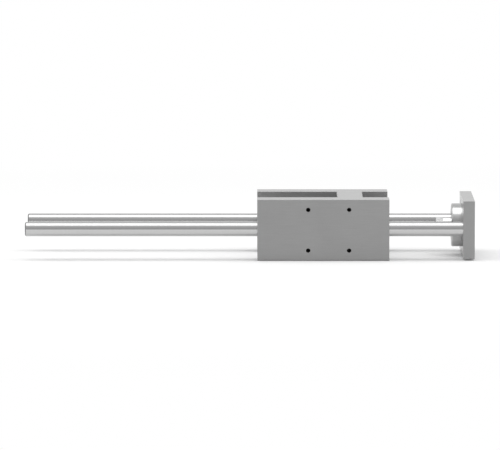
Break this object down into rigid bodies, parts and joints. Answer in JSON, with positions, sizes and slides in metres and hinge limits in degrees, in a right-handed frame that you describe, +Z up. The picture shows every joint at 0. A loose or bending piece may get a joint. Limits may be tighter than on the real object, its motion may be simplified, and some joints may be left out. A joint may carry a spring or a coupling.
{
  "type": "linear guide unit",
  "caption": "H-shaped guide unit for a pneumatic cylinder: steel guide rods slide through an aluminium housing and carry a yoke plate with a floating piston-rod coupling.",
  "frame": {"origin": "on the piston-rod axis, at the web's rear face, which the cylinder is bolted to", "axes": "+X is the stroke, positive as the rods and the yoke plate move out; +Y runs from the right rod to the left rod; +Z is up, away from the housing's underside"},
  "size_m": [0.621, 0.152, 0.085],
  "materials": {
    "anodised_housing": "clear anodised, satin",
    "anodised_plate": "clear anodised, satin",
    "chromed_rod": "ground, hard-chromed and polished",
    "turned_steel": "fine turned",
    "screw_steel": "zinc plated",
    "spring_steel": "phosphated, dark",
    "bronze": "sintered, oiled",
    "wiper_rubber": "matt black"
  },
  "bodies": {
    "guide_housing": {"housing": "anodised_housing", "bush_left_rear": "bronze", "bush_left_front": "bronze", "bush_right_rear": "bronze", "bush_right_front": "bronze", "wiper_left_rear": "wiper_rubber", "wiper_left_front": "wiper_rubber", "wiper_right_rear": "wiper_rubber", "wiper_right_front": "wiper_rubber", "snap_ring_left_rear": "spring_steel", "snap_ring_left_front": "spring_steel", "snap_ring_right_rear": "spring_steel", "snap_ring_right_front": "spring_steel"},
    "carriage": {"guide_rod_left": "chromed_rod", "guide_rod_right": "chromed_rod", "yoke_plate": "anodised_plate", "rod_screw_left": "screw_steel", "rod_screw_right": "screw_steel", "coupling_retainer": "turned_steel", "retainer_screws": "screw_steel"},
    "rod_coupling": {"coupling_stud": "turned_steel"}
  },
  "joints": [
    {"name": "stroke", "type": "slide", "parent": "guide_housing", "child": "carriage", "axis": [1, 0, 0], "range_m": [-0.1, 0.3]},
    {"name": "stud_turn", "type": "hinge", "parent": "carriage", "child": "rod_coupling", "pos_m": [0.155, 0, 0], "axis": [1, 0, 0], "continuous": true}
  ]
}
